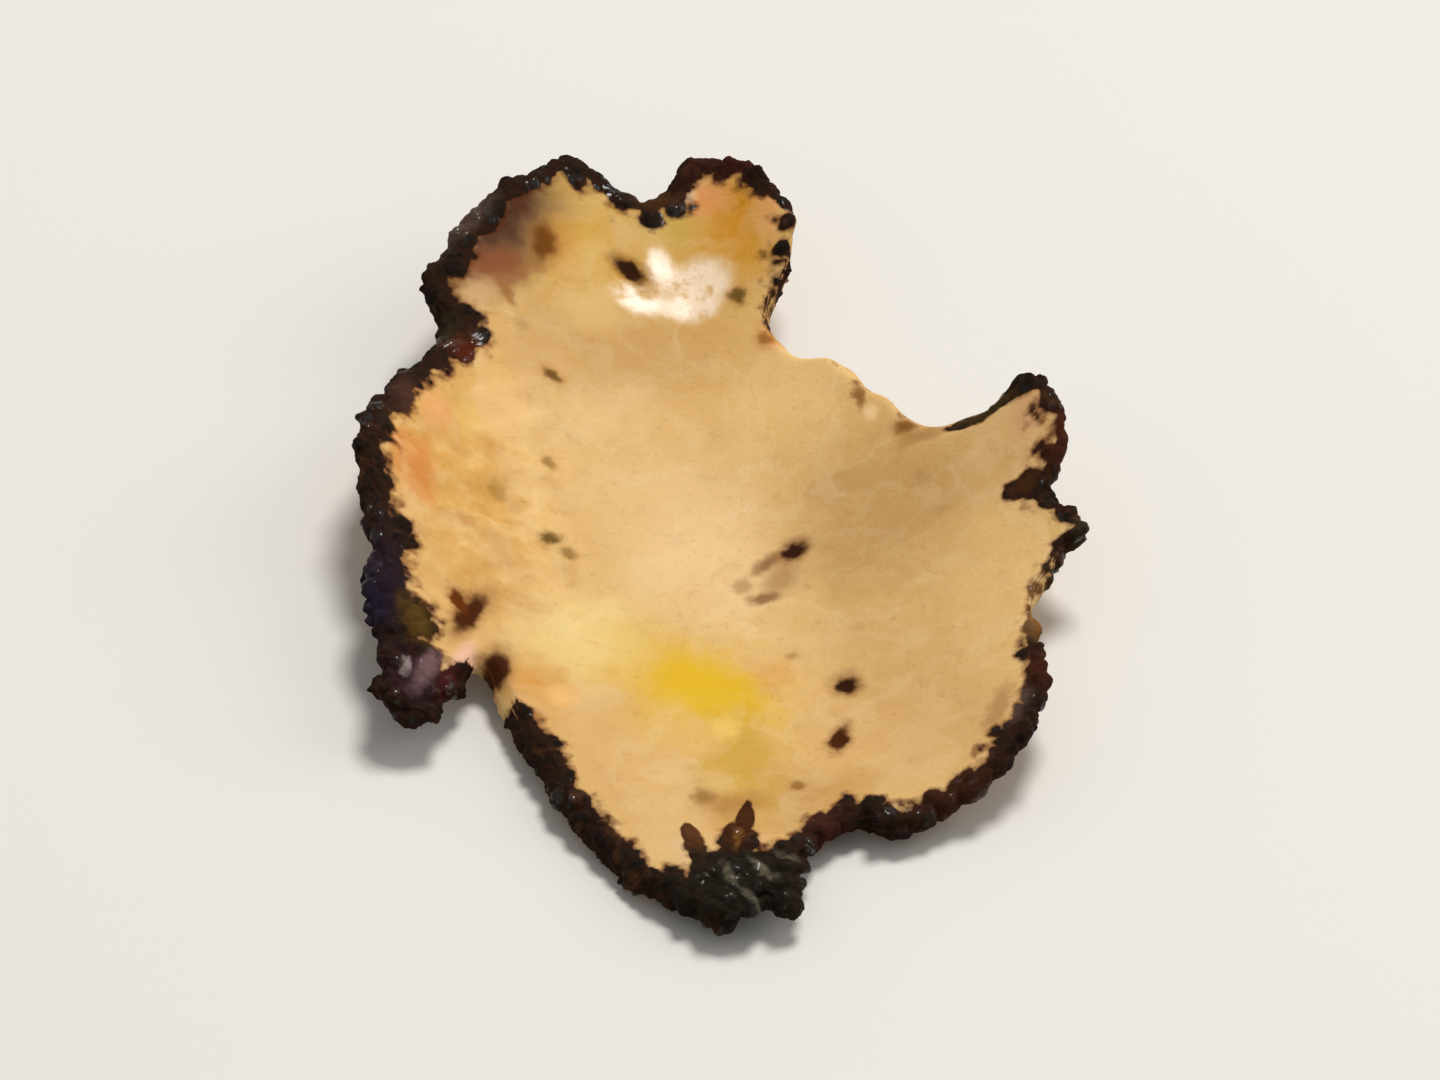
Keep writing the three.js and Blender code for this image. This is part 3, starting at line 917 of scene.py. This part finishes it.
def truffle_finish(shift):
    """The flesh and the rind in one material. Its patterns are in the flat slice's own millimetres."""
    finish = Finish("truffle_flesh_and_rind")
    place = finish.node("ShaderNodeTexCoord", None, None, output="Object")
    place = finish.vector("MULTIPLY", place, (1 / MM, 1 / MM, 1 / MM))
    place = finish.vector("SUBTRACT", place, tuple(shift))
    near = finish.wander(place, size=0.45, far=0.16)
    ragged = finish.noise(place, size=0.6, roughness=0.55) - 0.5
    reach = finish.attribute("rind_reach")
    raised = finish.attribute("raised")
    rind = (reach + ragged * 0.9 + 0.04).between(-0.05, 0.08)

    stained = (finish.attribute("stain") + ragged * 1.2).between(0.35, 0.95)
    wet_and_painted_highlight = shine(finish, place, near)
    fringe = (reach + ragged).between(-0.36, 0.05)
    colour = finish.mix(flesh_colour(finish, place), STAIN, stained * 0.8)
    colour = marked(finish, colour, near)
    # Painted highlight: the colour is lightened towards near white where the flesh is wet
    colour = finish.mix(colour, PAINTED_HIGHLIGHT, wet_and_painted_highlight * 0.78)
    colour = finish.mix(colour, FRINGE, fringe * 0.9)
    colour, waxy = specked(finish, colour, near)
    colour = finish.mix(colour, rind_colour(finish, place, near, raised), rind)

    damp = finish.noise(place, size=1.7, detail=3.0)
    glint = damp.between(0.50, 0.62) * raised.between(0.22, 0.42)
    glossy = finish.spot(near, *GLOSSY_PATCH)
    flesh_roughness = 0.64 + 0.30 * (1 - waxy) - 0.08 * damp - 0.26 * glossy * waxy - 0.20 * wet_and_painted_highlight
    rind_roughness = 0.82 - 0.44 * glint
    roughness = flesh_roughness * (1 - rind) + rind_roughness * rind
    coat = (0.03 + 0.30 * glossy + 0.35 * wet_and_painted_highlight) * waxy * (1 - rind) + 0.60 * glint * rind

    shader = finish.node("ShaderNodeBsdfPrincipled", None, {
        "Base Color": colour,
        "Roughness": roughness,
        "Coat Weight": coat,
        "Coat Roughness": 0.16,
        "IOR": 1.42,
        "Specular IOR Level": 0.14,
        "Subsurface Weight": 0.14,
        "Subsurface Radius": (1.0, 0.5, 0.22),
        "Subsurface Scale": LIGHT_DEPTH * MM,
        "Normal": surface_bump(finish, place, rind),
    })
    finish.node("ShaderNodeOutputMaterial", None, {"Surface": shader})
    return finish.material


# The floor, the lights and the camera, in metres and degrees. The lens and its sensor are in mm
FLOOR_HALF_WIDTH = 2.0
FLOOR_CLOUD = 0.4
LIT_PLACE = Vector((0, 0, 0.002))
SKY_COLOUR = (1.0, 0.985, 0.96, 1)
SKY_STRENGTH = 0.36
CAMERA_ELEVATION = 42
CAMERA_TARGET = Vector((0, 0.0003, 0.0016))
CAMERA_LENS = 380
CAMERA_SENSOR = 36
WIDTH_SEEN = 0.046


def floor_finish():
    finish = Finish("pale_floor")
    place = finish.node("ShaderNodeTexCoord", None, None, output="Object")
    tone = finish.noise(place, size=FLOOR_CLOUD)
    colour = finish.mix(srgb(224, 222, 217), srgb(229, 227, 223), tone)
    shader = finish.node("ShaderNodeBsdfPrincipled", None, {"Base Color": colour, "Roughness": 0.6})
    finish.node("ShaderNodeOutputMaterial", None, {"Surface": shader})
    return finish.material


def pale_floor():
    bm = bmesh.new()
    bmesh.ops.create_grid(bm, x_segments=1, y_segments=1, size=FLOOR_HALF_WIDTH)
    mesh = bpy.data.meshes.new("floor")
    bm.to_mesh(mesh)
    bm.free()
    mesh.materials.append(floor_finish())
    floor = bpy.data.objects.new("floor", mesh)
    bpy.context.collection.objects.link(floor)


def aim(thing, target):
    thing.rotation_mode = "QUATERNION"
    thing.rotation_quaternion = (target - thing.location).to_track_quat("-Z", "Y")


def soft_light(name, place, width, power, colour):
    """A round lamp that shines on the slice, its power in watts."""
    data = bpy.data.lights.new(name, "AREA")
    data.shape = "DISK"
    data.size = width
    data.energy = power
    data.color = colour
    lamp = bpy.data.objects.new(name, data)
    lamp.location = place
    aim(lamp, LIT_PLACE)
    bpy.context.collection.objects.link(lamp)


def studio():
    """One lamp high behind the slice, a weaker and wider one from the right, and a soft sky."""
    soft_light("key", Vector((0.11, 0.21, 0.52)), width=0.20, power=2.35, colour=(1.0, 0.97, 0.93))
    soft_light("side", Vector((0.46, 0.06, 0.30)), width=0.40, power=0.55, colour=(1.0, 0.96, 0.90))
    world = bpy.data.worlds.new("soft_sky")
    world.use_nodes = True
    background = world.node_tree.nodes["Background"]
    background.inputs["Color"].default_value = SKY_COLOUR
    background.inputs["Strength"].default_value = SKY_STRENGTH
    bpy.context.scene.world = world
    bpy.context.scene.view_settings.view_transform = "Standard"


def camera():
    """Looks down at the slice from the photograph's height, through a long lens."""
    elevation = math.radians(CAMERA_ELEVATION)
    distance = CAMERA_LENS / CAMERA_SENSOR * WIDTH_SEEN
    data = bpy.data.cameras.new("camera")
    data.lens = CAMERA_LENS
    data.sensor_width = CAMERA_SENSOR
    data.clip_start = 0.01
    data.clip_end = 10
    eye = bpy.data.objects.new("camera", data)
    eye.location = CAMERA_TARGET + distance * Vector((0, -math.cos(elevation), math.sin(elevation)))
    aim(eye, CAMERA_TARGET)
    bpy.context.collection.objects.link(eye)
    bpy.context.scene.camera = eye


camera()
studio()
pale_floor()
body, offset = curled_slice(Rim())
body.data.materials.append(truffle_finish(offset))
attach(body, "root")
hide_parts(NODE)
